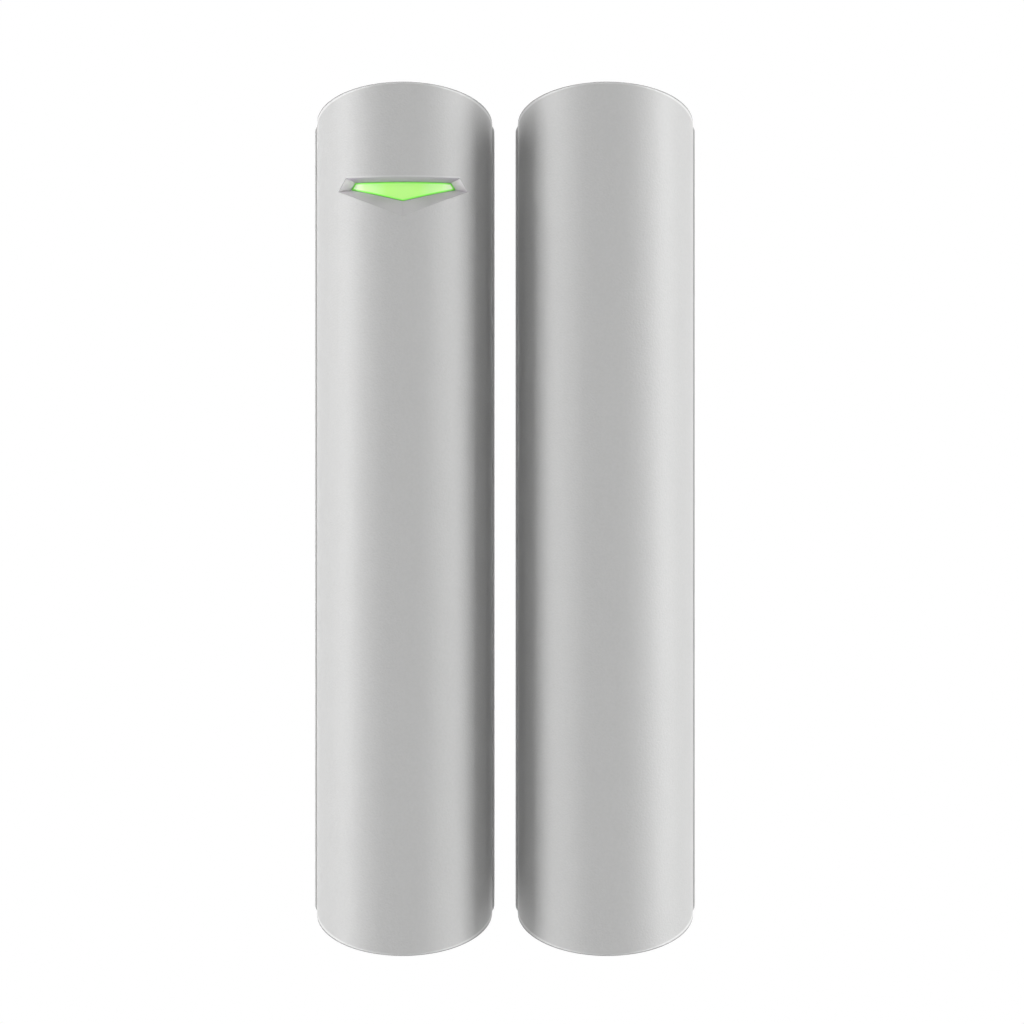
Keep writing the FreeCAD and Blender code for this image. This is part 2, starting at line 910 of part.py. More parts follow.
def capacitors():
    return Part.makeCompound([
        on_front(side * capacitor_x, window_z - step * capacitor_pitch,
                 capacitor_width, capacitor_height, capacitor_height)
        for side in (-1, 1)
        for step in (1, 2)
    ])


def antenna():
    """A stamped strip that stands on two legs along the board's left edge."""
    z0 = board_bottom_z + antenna_above_board
    z1 = z0 + antenna_length
    x0 = -antenna_x - antenna_thickness
    x1 = -antenna_x
    top_y = board_front_y - antenna_height
    rail = box(x0, x1, top_y, top_y + antenna_leg_width, z0, z1)
    legs = [
        box(x0, x1, top_y, board_front_y, z, z + antenna_leg_width)
        for z in (z0, z0 + 3 * antenna_leg_width)
    ]
    feet = [
        box(x0, x1 + antenna_foot, board_front_y - antenna_thickness, board_front_y,
            z, z + antenna_leg_width)
        for z in (z0, z0 + 3 * antenna_leg_width)
    ]
    return fuse(rail, *legs, *feet)


def reed_glass(x):
    """A sealed glass capsule, open inside, with a fine hole for the lead at each end."""
    z = board_bottom_z + reed_above_board
    y = board_front_y - reed_height
    low = V(x, y, z - reed_glass_length / 2)
    capsule = Part.makeCylinder(reed_radius, reed_glass_length, low, V(0, 0, 1))
    ends = [edge for edge in capsule.Edges if len(edge.Vertexes) == 1 and edge.Closed]
    capsule = capsule.makeFillet(reed_radius * 0.6, ends)
    space = Part.makeCylinder(
        reed_radius - reed_glass_wall, reed_glass_length - 2 * reed_radius,
        V(x, y, z - reed_glass_length / 2 + reed_radius), V(0, 0, 1),
    )
    hole = Part.makeCylinder(
        reed_lead_radius + reed_lead_play, reed_glass_length + 2,
        low - V(0, 0, 1), V(0, 0, 1),
    )
    return cut(capsule, space, hole)


def reed_leads(x):
    """Two leads: each stands on the board, runs into the glass and flattens to a contact blade."""
    z = board_bottom_z + reed_above_board
    y = board_front_y - reed_height
    leads = []
    for end in (-1, 1):
        reach = reed_glass_length / 2 + reed_lead_reach
        inner = reed_radius + 0.2
        run = Part.makeCylinder(
            reed_lead_radius, reach - (reed_glass_length / 2 - inner),
            V(x, y, z + end * reach), V(0, 0, -end),
        )
        leg = Part.makeCylinder(
            reed_lead_radius, reed_height, V(x, y, z + end * reach), V(0, 1, 0)
        )
        knee = Part.makeSphere(reed_lead_radius, V(x, y, z + end * reach))
        tip, heel = -end * reed_blade_overlap / 2, end * (reed_glass_length / 2 - inner)
        z0, z1 = sorted((z + tip, z + heel))
        offset = end * reed_blade_thickness * 0.7
        blade = box(
            x - reed_blade_width / 2, x + reed_blade_width / 2,
            y + offset - reed_blade_thickness / 2, y + offset + reed_blade_thickness / 2, z0, z1,
        )
        leads.append(fuse(run, leg, knee, blade))
    return leads


# Switches and terminal behind the board

def push_switch(z, travel):
    """A square switch body with the pocket that its stem travels in."""
    half = switch_size / 2
    y1 = board_rear_y + switch_body_height
    body = box(-half, half, board_rear_y, y1, z - half, z + half)
    pocket_depth = switch_stem_depth + travel + switch_pocket_reserve
    pocket = cylinder_y(0, z, switch_stem_radius + switch_stem_play, y1 - pocket_depth, y1 + 1)
    return body.cut(pocket)


def stem_inner_y():
    return board_rear_y + switch_body_height - switch_stem_depth


def tamper_plunger():
    """The tall stem of the tamper switch. The tab of the wall plate holds it in."""
    tip_y = -plate_thickness - tamper_plate_gap
    return cylinder_y(0, tamper_z, switch_stem_radius, stem_inner_y(), tip_y)


def power_switch_stem():
    tip_y = rear_inner_y - plate_gap - power_flange_thickness
    return cylinder_y(0, power_z, switch_stem_radius, stem_inner_y(), tip_y)


def power_button():
    """A round cap in the rear cover. Its flange keeps it in, and the switch's stem carries it."""
    flange_y1 = rear_inner_y - plate_gap
    cap = cylinder_y(0, power_z, power_cap_radius, flange_y1, rear_face_y - power_cap_recess)
    flange = cylinder_y(
        0, power_z, power_flange_radius, flange_y1 - power_flange_thickness, flange_y1
    )
    return fuse(cap, flange)


def terminal_face_y():
    return rear_face_y - terminal_recess


def release_places():
    """Left and right release button: one above each wire hole."""
    return [(side * terminal_pitch / 2, terminal_z + release_offset) for side in (-1, 1)]


def terminal_block():
    """A two-pole push-in terminal: wire holes and release buttons face the wall."""
    half_x, half_z = terminal_width / 2, terminal_height / 2
    y1 = terminal_face_y()
    body = box(-half_x, half_x, board_rear_y, y1, terminal_z - half_z, terminal_z + half_z)
    wires = [
        cylinder_y(
            side * terminal_pitch / 2, terminal_z - release_offset, wire_hole_radius,
            y1 - wire_hole_depth, y1 + 1,
        )
        for side in (-1, 1)
    ]
    half = release_size / 2 + release_play
    y0 = y1 - release_depth - release_travel - release_reserve
    sockets = [
        box(x - half, x + half, y0, y1 + 1, z - half, z + half) for x, z in release_places()
    ]
    return cut(body, *wires, *sockets)


def terminal_release(x, z):
    half = release_size / 2
    y1 = terminal_face_y()
    return box(x - half, x + half, y1 - release_depth, y1, z - half, z + half)


# Magnet unit

def magnet_box(play):
    """The bar's block, grown by a play. It lies against the clips on the sensor's side."""
    x0 = clip_thickness - clip_outer_x + magnet_from_clips
    y1 = rear_inner_y - magnet_from_wall
    return box(
        x0 - play, x0 + magnet_width + play, y1 - magnet_depth - play, y1 + play,
        -magnet_length / 2 - play, magnet_length / 2 + play,
    )


def bar_magnet():
    bar = magnet_box(0.0)
    return bar.makeFillet(0.4, bar.Edges)


def magnet_rear_cover():
    """The tray of the magnet unit, with cross ribs that hold the bar magnet."""
    ribs = [
        cross_rib(z, rib_thickness, rear_inner_y - magnet_from_wall - magnet_rib_height).cut(
            magnet_box(magnet_play)
        )
        for z in (-magnet_rib_step / 2, 0.0, magnet_rib_step / 2)
    ]
    return fuse(plain_rear_cover(), *ribs)


# Nodes

def moved_to_magnet(shape):
    moved = shape.copy()
    moved.translate(V(unit_pitch, 0, 0))
    return moved


def sensor_nodes():
    nodes = {
        "sensor_front_cover": sensor_front_cover(),
        "sensor_rear_cover": sensor_rear_cover(),
        "sensor_wall_plate": sensor_wall_plate(),
        "light_guide": light_guide(),
        "circuit_board": circuit_board(),
        "board_screws": board_screws(),
        "indicator_led": indicator_led(),
        "radio_shield": radio_shield(),
        "radio_chip": radio_chip(),
        "controller_chip": controller_chip(),
        "crystal": crystal(),
        "capacitors": capacitors(),
        "antenna": antenna(),
        "tamper_switch": push_switch(tamper_z, tamper_travel),
        "tamper_plunger": tamper_plunger(),
        "power_switch": push_switch(power_z, power_travel),
        "power_switch_stem": power_switch_stem(),
        "power_button": power_button(),
        "terminal_block": terminal_block(),
        "battery_cell": battery_cell(),
        "battery_top_contact": battery_top_contact(),
        "battery_bottom_contact": battery_bottom_contact(),
        "battery_spring": battery_spring(),
    }
    for name, (x, z) in zip(("left", "right"), release_places()):
        nodes[f"terminal_release_{name}"] = terminal_release(x, z)
    for name, x in (("outer", reed_outer_x), ("inner", reed_outer_x - reed_pitch)):
        nodes[f"reed_glass_{name}"] = reed_glass(x)
        nodes[f"reed_leads_{name}"] = Part.makeCompound(reed_leads(x))
    return nodes


def magnet_nodes():
    nodes = {
        "magnet_front_cover": plain_front_cover(),
        "magnet_rear_cover": magnet_rear_cover(),
        "magnet_wall_plate": plain_plate(),
        "bar_magnet": bar_magnet(),
    }
    return {name: moved_to_magnet(shape) for name, shape in nodes.items()}


def main():
    os.makedirs("parts", exist_ok=True)
    for name, shape in {**sensor_nodes(), **magnet_nodes()}.items():
        solids = len(shape.Solids)
        print(f"{name}: {solids} solid(s), {shape.Volume:.1f} mm3, valid {shape.isValid()}")
        shape.exportStep(f"parts/{name}.step")
    print(f"length {body_length:.2f}, pitch {unit_pitch:.2f}, depth {-front_y:.2f}")


main()
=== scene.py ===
"""Looks of the wireless door sensor: pale satin mouldings, a green-lit indicator recess, and a plain
white studio. Metres throughout, in the part's own frame: +Z up, the front faces -Y.
"""

import json
import math

import bpy
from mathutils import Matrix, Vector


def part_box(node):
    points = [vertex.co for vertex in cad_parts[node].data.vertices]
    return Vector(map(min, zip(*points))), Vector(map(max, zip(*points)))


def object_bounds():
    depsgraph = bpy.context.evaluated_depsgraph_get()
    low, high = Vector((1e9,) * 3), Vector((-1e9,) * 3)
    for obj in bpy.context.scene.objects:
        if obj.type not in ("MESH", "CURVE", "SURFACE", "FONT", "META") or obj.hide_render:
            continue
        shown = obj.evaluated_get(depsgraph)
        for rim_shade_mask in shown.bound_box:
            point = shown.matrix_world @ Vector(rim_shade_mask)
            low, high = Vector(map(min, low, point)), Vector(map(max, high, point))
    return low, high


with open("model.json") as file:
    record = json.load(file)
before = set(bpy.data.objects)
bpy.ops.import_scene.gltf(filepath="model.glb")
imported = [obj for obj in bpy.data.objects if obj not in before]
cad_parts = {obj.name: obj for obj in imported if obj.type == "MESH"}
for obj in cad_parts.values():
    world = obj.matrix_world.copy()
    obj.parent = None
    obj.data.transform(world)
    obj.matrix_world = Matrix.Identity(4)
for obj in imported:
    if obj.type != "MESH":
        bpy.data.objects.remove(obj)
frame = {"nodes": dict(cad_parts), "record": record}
cad_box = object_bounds()

MM = 0.001

# Camera: level with the middle of the units, a little to the right of the gap between them
IMAGE_SIZE = 1024
FOCAL_PIXELS = 4429
SENSOR_WIDTH = 36.0
CAMERA_DISTANCE = 480 * MM
CAMERA_OFFSET_X = 0.76 * MM
CAMERA_OFFSET_Z = 0.72 * MM
CLIP_END = 20.0

# Studio: FLOOR_WHITE is the share of plain white in what the camera sees of the floor
FLOOR_DROP = 110 * MM
FLOOR_RADIUS = 600 * MM
FLOOR_CORNERS = 96
FLOOR_PATCH_SIZE = 20 * MM
FLOOR_COLOURS = [(0.85, 0.85, 0.85), (0.87, 0.87, 0.87)]
FLOOR_ROUGHNESS = 0.8
FLOOR_WHITE = 0.55
WORLD_FILL = 0.02
LAMP_DISTANCE = 700 * MM

# Lamp panels: name, azimuth, elevation, width, height, power
PANELS = [
    ("panel_left", -79, 0, 0.2, 1.4, 10.7),
    ("panel_right", 79, 0, 0.2, 1.4, 10.7),
    ("panel_front", 0, 0, 0.3, 1.4, 2.75),
    ("panel_back", 180, 0, 0.5, 1.0, 4.2),
    ("panel_top", 180, 69, 0.5, 0.3, 2.8),
    ("panel_bottom", 180, -69, 0.5, 0.3, 2.3),
]

# Grain: a noise runs mostly between NOISE_LOW and NOISE_HIGH
NOISE_LOW = 0.3
NOISE_HIGH = 0.7
GRAIN_SIZE = 0.2 * MM
GRAIN_DEPTH = 0.025 * MM
MOTTLE_SIZE = 1.3 * GRAIN_SIZE
COLOUR_VARIATION = 0.022
GLOSS_VARIATION = 0.03
METAL_GRAIN_SIZE = 0.3 * MM
METAL_DARKEST = 0.93
METAL_PALEST = 1.05
METAL_GLOSSIEST = -0.05
METAL_DULLEST = 0.08
GLASS_STREAK_SIZE = 2 * MM
GLASS_DARKEST = 0.96
GLASS_ROUGHNESS = 0.05
GLASS_TRANSMISSION = 0.9
GLASS_IOR = 1.5

HOUSING_COLOUR = (0.42, 0.42, 0.418)
HOUSING_ROUGHNESS = 0.5

# Plastics and ceramics by material slot: name, colour, roughness, variation of the colour
MOULDED = {
    "housing_grey": ("housing_plastic", HOUSING_COLOUR, HOUSING_ROUGHNESS, COLOUR_VARIATION),
    "plate_grey": ("plate_plastic", HOUSING_COLOUR, 0.45, COLOUR_VARIATION),
    "board_green": ("board_laminate", (0.02, 0.12, 0.05), 0.4, 0.08),
    "led_white": ("led_resin", (0.85, 0.86, 0.8), 0.3, COLOUR_VARIATION),
    "chip_black": ("chip_resin", (0.025, 0.025, 0.027), 0.55, 0.1),
    "capacitor_tan": ("capacitor_ceramic", (0.42, 0.3, 0.18), 0.5, 0.06),
    "switch_black": ("switch_plastic", (0.03, 0.03, 0.032), 0.4, 0.08),
    "plunger_white": ("plunger_plastic", (0.7, 0.7, 0.68), 0.4, COLOUR_VARIATION),
    "terminal_grey": ("terminal_plastic", (0.25, 0.26, 0.27), 0.45, COLOUR_VARIATION),
    "battery_sleeve": ("battery_sleeve", (0.08, 0.11, 0.24), 0.2, 0.05),
    "magnet_ferrite": ("magnet_ferrite", (0.05, 0.05, 0.055), 0.7, 0.15),
}

# Metals by material slot: name, colour, roughness
METALS = {
    "screw_steel": ("screw_steel", (0.6, 0.6, 0.58), 0.3),
    "shield_steel": ("shield_steel", (0.66, 0.66, 0.64), 0.35),
    "contact_steel": ("contact_steel", (0.72, 0.7, 0.64), 0.28),
}

# Indicator window: heights and half widths of its five corners, from its own middle
WINDOW_ABOVE_CENTRE = 35.15 * MM
WINDOW_TOP_HALF_WIDTH = 5.13 * MM
WINDOW_HALF_WIDTH = 5.6 * MM
WINDOW_TOP_Z = 0.76 * MM
WINDOW_BOTTOM_Z = -1.32 * MM
# A darker, saturated border painted as shade along the window's edge
WINDOW_SHADED_BORDER_WIDTH = 0.17 * MM
WINDOW_BORDER_SHADE_COLOUR = (0.23, 0.88, 0.09)
# Green glow across the window, whiter towards its ends as a painted highlight
WINDOW_GLOW_AND_HIGHLIGHT_COLOURS = [(0.435, 0.88, 0.2), (0.47, 0.86, 0.29), (0.5, 0.86, 0.3), (0.76, 0.92, 0.62)]
WINDOW_GLOW_AND_HIGHLIGHT_BETWEEN = (0.3, 0.95)
WINDOW_GLOW = 0.13
WINDOW_ROUGHNESS = 0.42

# Walls of the recess, with painted light: the lower walls paler towards the ends, the two side walls
# much paler, and all of them tinted as painted light against the green glow falling on them
MOUTH_TOP_CORNER = (6.15 * MM, 1.18 * MM)
MOUTH_SIDE_CORNER = (6.95 * MM, -0.23 * MM)
MOUTH_BOTTOM_Z = -3.05 * MM
RECESSED_WITHIN = 9.47 * MM
WALL_BLEND = 0.05 * MM
LOWER_WALL_PAINTED_LIGHT_COLOURS = [(0.45, 0.44, 0.45), (0.66, 0.625, 0.665)]
LOWER_WALL_PAINTED_LIGHT_BETWEEN = (0.3, 0.6)
UPPER_WALL_PAINTED_TINT = (0.42, 0.37, 0.45)
SIDE_WALL_PAINTED_LIGHT = (0.87, 0.835, 0.87)
# A painted highlight on the lip just above the mouth's top edge
LIP_HIGHLIGHT_COLOUR = (0.48, 0.48, 0.48)
LIP_HIGHLIGHT_HEIGHT = 0.2 * MM

# Edges of the front covers carry a painted highlight, paler towards the sides, and a painted dark shade
# line on the outermost corner.
# Both lines are measured upwards, and widen towards the sides, where the rim runs steeply
UNIT_AXIS_Y = -11.5 * MM
FRONT_Y = -21.0 * MM
FRONT_RADIUS = 9.5 * MM
HALF_LENGTH = 46.59 * MM
END_SLOPE = math.tan(math.radians(21))
RIM_STEEPNESS = -0.58
RIM_HIGHLIGHT_FROM = 0.18 * MM
RIM_HIGHLIGHT_TO = 0.37 * MM
RIM_HIGHLIGHT_DEPTH = 0.22 * MM
RIM_HIGHLIGHT_COLOURS = [(0.48, 0.48, 0.48), (0.56, 0.56, 0.56)]
RIM_HIGHLIGHT_COLOURS_BETWEEN = (0.3, 0.45)
# The painted dark shade line on the rim's outermost corner
RIM_SHADE_TO = 0.18 * MM
RIM_SHADE_DEPTH = 0.29 * MM
RIM_SHADE_COLOUR = (0.09, 0.09, 0.09)


class Graph:
    """A small helper that adds nodes to a material and links them."""

    def __init__(self, material):
        if isinstance(material, str):
            material = bpy.data.materials.new(material)
            material.use_nodes = True
        self.material = material
        self.tree = material.node_tree
        self.shader = self.tree.nodes["Principled BSDF"]

    def set(self, name, value):
        """A plain value on the shader's own socket."""
        self.shader.inputs[name].default_value = value

    def add(self, kind, **settings):
        node = self.tree.nodes.new(kind)
        for key, value in settings.items():
            if hasattr(node, key):
                setattr(node, key, value)
            else:
                node.inputs[key].default_value = value
        return node

    def link(self, output, target):
        self.tree.links.new(output, target)

    def link_to_shader(self, output, name):
        self.link(output, self.shader.inputs[name])

    def position(self):
        return self.add("ShaderNodeTexCoord").outputs["Object"]

    def coordinate(self, name):
        place = self.add("ShaderNodeSeparateXYZ")
        self.link(self.position(), place.inputs[0])
        return place.outputs[name]

    def noise(self, size, detail=2.0):
        node = self.add("ShaderNodeTexNoise", Scale=1 / size, Detail=detail)
        self.link(self.position(), node.inputs["Vector"])
        return node.outputs["Fac"]

    def ramp(self, factor, low, high, colours):
        """Colours spread evenly over the factor between low and high."""
        node = self.add("ShaderNodeValToRGB")
        ramp = node.color_ramp
        while len(ramp.elements) < len(colours):
            ramp.elements.new(0.5)
        for index, colour in enumerate(colours):
            ramp.elements[index].position = low + (high - low) * index / (len(colours) - 1)
            ramp.elements[index].color = (*colour, 1.0)
        self.link(factor, node.inputs["Fac"])
        return node.outputs["Color"]

    def spread(self, noise, colours):
        """Colours spread over the usual range of a noise."""
        return self.ramp(noise, NOISE_LOW, NOISE_HIGH, colours)

    def mix(self, factor, first, second):
        """Colour first where the factor is 0 and second where it is 1; either may be an output."""
        node = self.add("ShaderNodeMix", data_type="RGBA")
        self.link(factor, node.inputs["Factor"])
        for name, colour in (("A", first), ("B", second)):
            socket = [s for s in node.inputs if s.name == name and s.type == "RGBA"][0]
            if isinstance(colour, tuple):
                socket.default_value = (*colour, 1.0)
            else:
                self.link(colour, socket)
        return [s for s in node.outputs if s.type == "RGBA"][0]

    def math(self, operation, first, second=0.0):
        """One sum of two numbers, each an output of a node or a plain value."""
        node = self.add("ShaderNodeMath", operation=operation)
        for socket, value in zip(node.inputs, (first, second)):
            if isinstance(value, float):
                socket.default_value = value
            else:
                self.link(value, socket)
        return node.outputs[0]

    def least(self, outputs):
        result = outputs[0]
        for output in outputs[1:]:
            result = self.math("MINIMUM", result, output)
        return result

    def from_point(self, x, z):
        """How far to either side of x, and how far above z."""
        across = self.math("ABSOLUTE", self.math("SUBTRACT", self.coordinate("X"), x))
        return across, self.math("SUBTRACT", self.coordinate("Z"), z)

    def from_axis(self, x, y):
        """Distance from the upright line through x and y, or only to its side, behind it."""
        across = self.math("SUBTRACT", self.coordinate("X"), x)
        along = self.math("MINIMUM", self.math("SUBTRACT", self.coordinate("Y"), y), 0.0)
        squares = [self.math("MULTIPLY", side, side) for side in (across, along)]
        return self.math("SQRT", self.math("ADD", *squares))

    def beyond(self, place, start, end):
        """Distance to the right of the line from start to end, seen from the front."""
        length = math.dist(start, end)
        run = (end[0] - start[0]) / length
        rise = (end[1] - start[1]) / length
        across = self.math("MULTIPLY", self.math("SUBTRACT", place[0], start[0]), rise)
        above = self.math("MULTIPLY", self.math("SUBTRACT", place[1], start[1]), run)
        return self.math("SUBTRACT", across, above)

    def inside(self, place, corners):
        """Distance inside the outline through the corners, which run clockwise."""
        return self.least([self.beyond(place, a, b) for a, b in zip(corners, corners[1:])])

    def band(self, limits):
        """1 where every distance lies between its two limits, with a short blend at each."""
        rooms = []
        for distance, low, high in limits:
            rooms += [self.math("SUBTRACT", distance, low), self.math("SUBTRACT", high, distance)]
        return self.math("DIVIDE", self.least(rooms), WALL_BLEND)

    def bump(self, height, depth):
        node = self.add("ShaderNodeBump", Distance=depth)
        self.link(height, node.inputs["Height"])
        self.link_to_shader(node.outputs["Normal"], "Normal")


def shade(colour, factor):
    return tuple(min(1.0, c * factor) for c in colour)


def moulded_plastic(name, colour, roughness, variation):
    """Fine spark-eroded plastic: a faint colour mottle, grain in the gloss and a fine bump."""
    graph = Graph(name)
    mottle = graph.noise(MOTTLE_SIZE)
    colours = [shade(colour, 1 - variation), shade(colour, 1 + variation)]
    graph.link_to_shader(graph.spread(mottle, colours), "Base Color")
    grain = graph.noise(GRAIN_SIZE)
    gloss = [(roughness - GLOSS_VARIATION,) * 3, (roughness + GLOSS_VARIATION,) * 3]
    graph.link_to_shader(graph.spread(grain, gloss), "Roughness")
    graph.bump(grain, GRAIN_DEPTH)
    return graph.material


def metal(name, colour, roughness):
    graph = Graph(name)
    grain = graph.noise(METAL_GRAIN_SIZE, detail=3.0)
    colours = [shade(colour, METAL_DARKEST), shade(colour, METAL_PALEST)]
    graph.link_to_shader(graph.spread(grain, colours), "Base Color")
    gloss = [(roughness + METAL_GLOSSIEST,) * 3, (roughness + METAL_DULLEST,) * 3]
    graph.link_to_shader(graph.spread(grain, gloss), "Roughness")
    graph.set("Metallic", 1.0)
    return graph.material


def glass(name, colour):
    graph = Graph(name)
    streak = graph.noise(GLASS_STREAK_SIZE, detail=1.0)
    graph.link_to_shader(graph.spread(streak, [shade(colour, GLASS_DARKEST), colour]), "Base Color")
    graph.set("Roughness", GLASS_ROUGHNESS)
    graph.set("Transmission Weight", GLASS_TRANSMISSION)
    graph.set("IOR", GLASS_IOR)
    return graph.material


def centre_of(node):
    low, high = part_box(node)
    return (low + high) / 2


def front_cover_plastic_with_painted_light(name, node):
    """The housing's plastic, with a painted highlight along its edges, a painted dark shade line on
    their outermost corner, and painted light on the walls of the indicator recess.
    """
    graph = Graph(moulded_plastic(name, HOUSING_COLOUR, HOUSING_ROUGHNESS, COLOUR_VARIATION))
    centre = centre_of(node)
    across, height = graph.from_point(centre.x, centre.z)
    aside = graph.math("DIVIDE", across, FRONT_RADIUS)
    inward = graph.math("SUBTRACT", FRONT_RADIUS, graph.from_axis(centre.x, UNIT_AXIS_Y))
    from_end = distance_from_end(graph, height, aside)

    colour = graph.shader.inputs["Base Color"].links[0].from_socket
    # Painted highlight: a paler colour along the rim, paler still towards the sides
    pale = graph.ramp(aside, *RIM_HIGHLIGHT_COLOURS_BETWEEN, RIM_HIGHLIGHT_COLOURS)
    rim_highlight_mask = graph.band([(from_end, RIM_HIGHLIGHT_FROM, RIM_HIGHLIGHT_TO), (inward, -RIM_HIGHLIGHT_DEPTH, RIM_HIGHLIGHT_DEPTH)])
    colour = graph.mix(rim_highlight_mask, colour, pale)
    # Painted shade: a dark line on the rim's outermost corner
    rim_shade_mask = graph.band([(from_end, -RIM_SHADE_TO, RIM_SHADE_TO), (inward, -RIM_SHADE_DEPTH, RIM_SHADE_DEPTH)])
    colour = graph.mix(rim_shade_mask, colour, RIM_SHADE_COLOUR)
    if node == "sensor_front_cover":
        colour = recess_wall_painted_light(graph, centre, inward, colour)
    graph.link_to_shader(colour, "Base Color")
    return graph.material


def distance_from_end(graph, height, aside):
    """Distance from the nearer oblique end face, taken as less where the rim runs steeply."""
    back = graph.math("SUBTRACT", graph.coordinate("Y"), FRONT_Y)
    from_end = graph.math("SUBTRACT", HALF_LENGTH, graph.math("ABSOLUTE", height))
    from_end = graph.math("SUBTRACT", from_end, graph.math("MULTIPLY", back, END_SLOPE))
    steep = graph.math("MULTIPLY", graph.math("MULTIPLY", aside, aside), RIM_STEEPNESS)
    return graph.math("MULTIPLY", from_end, graph.math("ADD", steep, 1.0))


def recess_wall_painted_light(graph, centre, inward, colour):
    """The colour, with painted light on the recess's lower, upper and side walls, and a painted
    highlight on the lip above its mouth.
    """
    from_middle = graph.from_point(centre.x, centre.z + WINDOW_ABOVE_CENTRE)
    recessed = graph.math("SUBTRACT", inward, FRONT_RADIUS - RECESSED_WITHIN)
    mouth_top = (0.0, MOUTH_TOP_CORNER[1])
    window_corner = (WINDOW_TOP_HALF_WIDTH, WINDOW_TOP_Z)
    mouth = [mouth_top, MOUTH_TOP_CORNER, MOUTH_SIDE_CORNER, (0.0, MOUTH_BOTTOM_Z)]
    top = [mouth_top, MOUTH_TOP_CORNER, window_corner, (0.0, WINDOW_TOP_Z)]
    side = [
        window_corner, MOUTH_TOP_CORNER, MOUTH_SIDE_CORNER,
        (WINDOW_HALF_WIDTH, 0.0), window_corner,
    ]
    # Painted light: the lower walls paler towards the ends, the side walls much paler, every wall tinted
    # against the green glow
    share = graph.math("DIVIDE", from_middle[0], FRONT_RADIUS)
    lower = graph.ramp(share, *LOWER_WALL_PAINTED_LIGHT_BETWEEN, LOWER_WALL_PAINTED_LIGHT_COLOURS)
    for corners, appearance in ((mouth, lower), (top, UPPER_WALL_PAINTED_TINT), (side, SIDE_WALL_PAINTED_LIGHT)):
        within = graph.math("MINIMUM", graph.inside(from_middle, corners), recessed)
        colour = graph.mix(graph.math("DIVIDE", within, WALL_BLEND), colour, appearance)
    # Painted highlight: a pale band on the lip just above the mouth's top edge
    above = graph.beyond(from_middle, MOUTH_TOP_CORNER, mouth_top)
    sideways = (from_middle[0], -MOUTH_TOP_CORNER[0], MOUTH_TOP_CORNER[0])
    lip = graph.band([(above, 0.0, LIP_HIGHLIGHT_HEIGHT), sideways])
    return graph.mix(lip, colour, LIP_HIGHLIGHT_COLOUR)


def lit_window():
    """Clear plastic lit green from behind: a saturated middle, a darker saturated border painted as
    shade, and whiter ends painted as a highlight.
    """
    graph = Graph("lit_window")
    centre = centre_of("sensor_front_cover")
    from_middle = graph.from_point(centre.x, centre.z + WINDOW_ABOVE_CENTRE)
    share = graph.math("DIVIDE", from_middle[0], WINDOW_HALF_WIDTH)
    # Painted highlight: whiter colour towards the window's ends
    glow_and_highlight = graph.ramp(share, *WINDOW_GLOW_AND_HIGHLIGHT_BETWEEN, WINDOW_GLOW_AND_HIGHLIGHT_COLOURS)
    corners = [
        (0.0, WINDOW_TOP_Z), (WINDOW_TOP_HALF_WIDTH, WINDOW_TOP_Z),
        (WINDOW_HALF_WIDTH, 0.0), (0.0, WINDOW_BOTTOM_Z),
    ]
    # Painted shade: a darker border along the window's edge
    border = graph.math("SUBTRACT", graph.inside(from_middle, corners), WINDOW_SHADED_BORDER_WIDTH)
    colour = graph.mix(graph.math("DIVIDE", border, WALL_BLEND), WINDOW_BORDER_SHADE_COLOUR, glow_and_highlight)
    graph.link_to_shader(colour, "Base Color")
    graph.link_to_shader(colour, "Emission Color")
    graph.set("Emission Strength", WINDOW_GLOW)
    graph.set("Roughness", WINDOW_ROUGHNESS)
    return graph.material


def materials_by_slot():
    finishes = {slot: moulded_plastic(*values) for slot, values in MOULDED.items()}
    finishes.update({slot: metal(*values) for slot, values in METALS.items()})
    finishes["reed_glass"] = glass("reed_glass", (0.8, 0.9, 0.84))
    finishes["light_guide_green"] = lit_window()
    return finishes


def dress_nodes():
    """Every node of the part gets the material of its slot, and the front covers one of their own."""
    finishes = materials_by_slot()
    for row in frame["record"]["subparts"]:
        node = row["node"]
        appearance = finishes[row["material_slot"]]
        if node in ("sensor_front_cover", "magnet_front_cover"):
            appearance = front_cover_plastic_with_painted_light(node + "_plastic", node)
        mesh = frame["nodes"][node].data
        mesh.materials.clear()
        mesh.materials.append(appearance)


def white_to_camera(nodes, links, lit, output, white_node, share):
    """Shows plain white to the camera, in gloss and through clear parts, and the lit shader to the rest.

    The share is how much of what the camera sees there is white.
    """
    path = nodes.new("ShaderNodeLightPath")
    seen = path.outputs["Is Camera Ray"]
    for ray in ("Is Glossy Ray", "Is Transmission Ray"):
        either = nodes.new("ShaderNodeMath")
        either.operation = "MAXIMUM"
        links.new(seen, either.inputs[0])
        links.new(path.outputs[ray], either.inputs[1])
        seen = either.outputs[0]
    part = nodes.new("ShaderNodeMath")
    part.operation = "MULTIPLY"
    part.inputs[1].default_value = share
    links.new(seen, part.inputs[0])
    white = nodes.new(white_node)
    white.inputs["Color"].default_value = (1, 1, 1, 1)
    white.inputs["Strength"].default_value = 1.0
    mix = nodes.new("ShaderNodeMixShader")
    links.new(part.outputs[0], mix.inputs[0])
    links.new(lit, mix.inputs[1])
    links.new(white.outputs[0], mix.inputs[2])
    links.new(mix.outputs[0], output)


def add_world():
    world = bpy.data.worlds.new("studio")
    world.use_nodes = True
    bpy.context.scene.world = world
    nodes = world.node_tree.nodes
    fill = nodes["Background"]
    fill.inputs["Color"].default_value = (1, 1, 1, 1)
    fill.inputs["Strength"].default_value = WORLD_FILL
    surface = nodes["World Output"].inputs["Surface"]
    links = world.node_tree.links
    white_to_camera(nodes, links, fill.outputs[0], surface, "ShaderNodeBackground", 1.0)


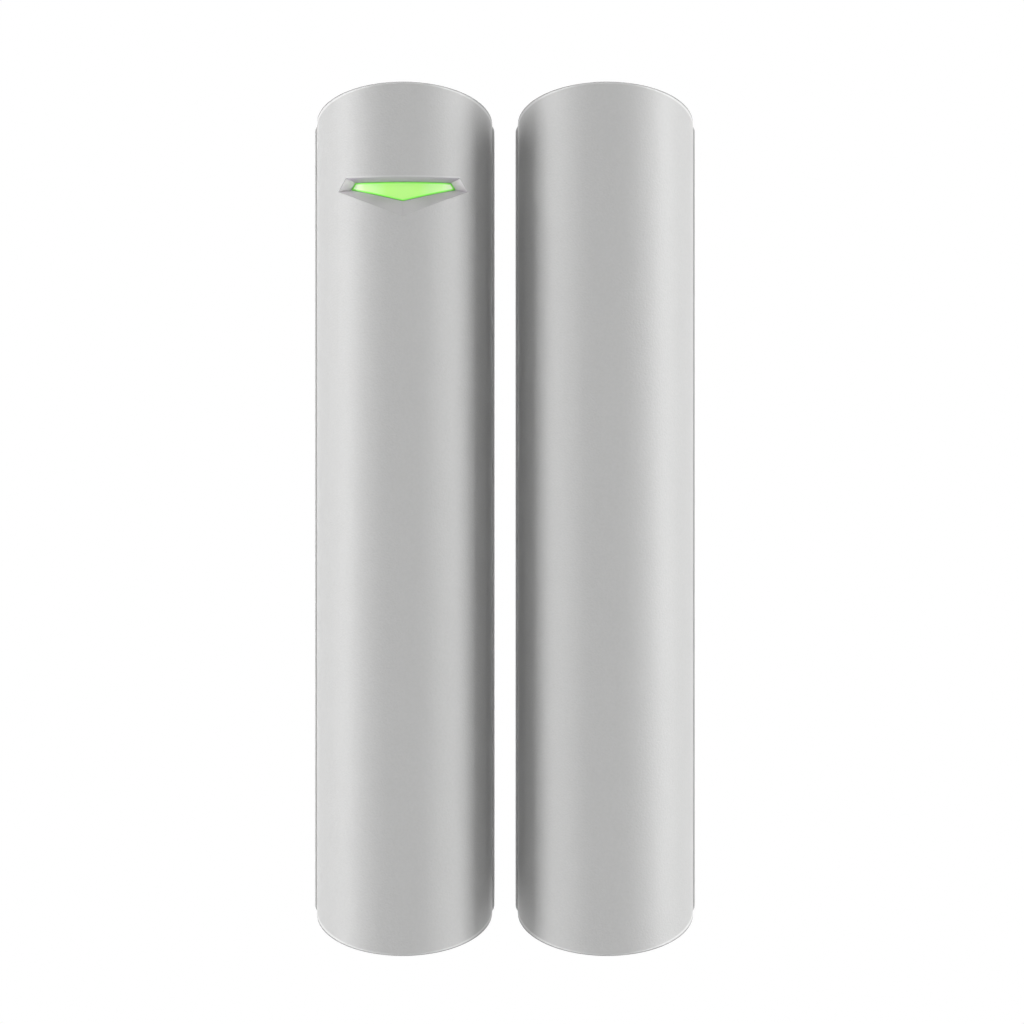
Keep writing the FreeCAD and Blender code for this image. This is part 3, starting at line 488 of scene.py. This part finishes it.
def add_floor():
    """A round pale card below the units, which keeps their shadow."""
    low, _ = cad_box
    bpy.ops.mesh.primitive_circle_add(
        vertices=FLOOR_CORNERS, radius=FLOOR_RADIUS, fill_type="NGON",
        location=(0, 0, low[2] - FLOOR_DROP),
    )
    floor = bpy.context.object
    floor.name = "studio_floor"
    graph = Graph("floor_card")
    graph.link_to_shader(graph.spread(graph.noise(FLOOR_PATCH_SIZE), FLOOR_COLOURS), "Base Color")
    graph.set("Roughness", FLOOR_ROUGHNESS)
    nodes = graph.tree.nodes
    surface = nodes["Material Output"].inputs["Surface"]
    lit = graph.shader.outputs[0]
    white_to_camera(nodes, graph.tree.links, lit, surface, "ShaderNodeEmission", FLOOR_WHITE)
    floor.data.materials.append(graph.material)


def add_panel(name, azimuth, elevation, width, height, power):
    """A soft lamp panel that faces the object. Azimuth 0 is in front, 90 to the object's right."""
    centre = (cad_box[0] + cad_box[1]) / 2
    a, e = math.radians(azimuth), math.radians(elevation)
    lamp = bpy.data.lights.new(name, "AREA")
    lamp.shape = "RECTANGLE"
    lamp.size = width
    lamp.size_y = height
    lamp.energy = power
    panel = bpy.data.objects.new(name, lamp)
    bpy.context.scene.collection.objects.link(panel)
    away = (math.sin(a) * math.cos(e), -math.cos(a) * math.cos(e), math.sin(e))
    panel.location = [c + LAMP_DISTANCE * d for c, d in zip(centre, away)]
    panel.rotation_euler = (math.pi / 2 - e, 0, a)
    panel.visible_camera = False


def add_camera():
    """Looks straight at the front, with its distance measured from the axes of the half-rounds."""
    centre = (cad_box[0] + cad_box[1]) / 2
    camera = bpy.data.cameras.new("camera")
    camera.sensor_width = SENSOR_WIDTH
    camera.lens = SENSOR_WIDTH * FOCAL_PIXELS / IMAGE_SIZE
    camera.clip_end = CLIP_END
    holder = bpy.data.objects.new("camera", camera)
    bpy.context.scene.collection.objects.link(holder)
    holder.location = (
        centre[0] + CAMERA_OFFSET_X, UNIT_AXIS_Y - CAMERA_DISTANCE, centre[2] + CAMERA_OFFSET_Z
    )
    holder.rotation_euler = (math.pi / 2, 0, 0)
    bpy.context.scene.camera = holder


def main():
    bpy.context.scene.view_settings.view_transform = "Standard"
    dress_nodes()
    add_floor()
    add_world()
    for panel in PANELS:
        add_panel(*panel)
    add_camera()


main()
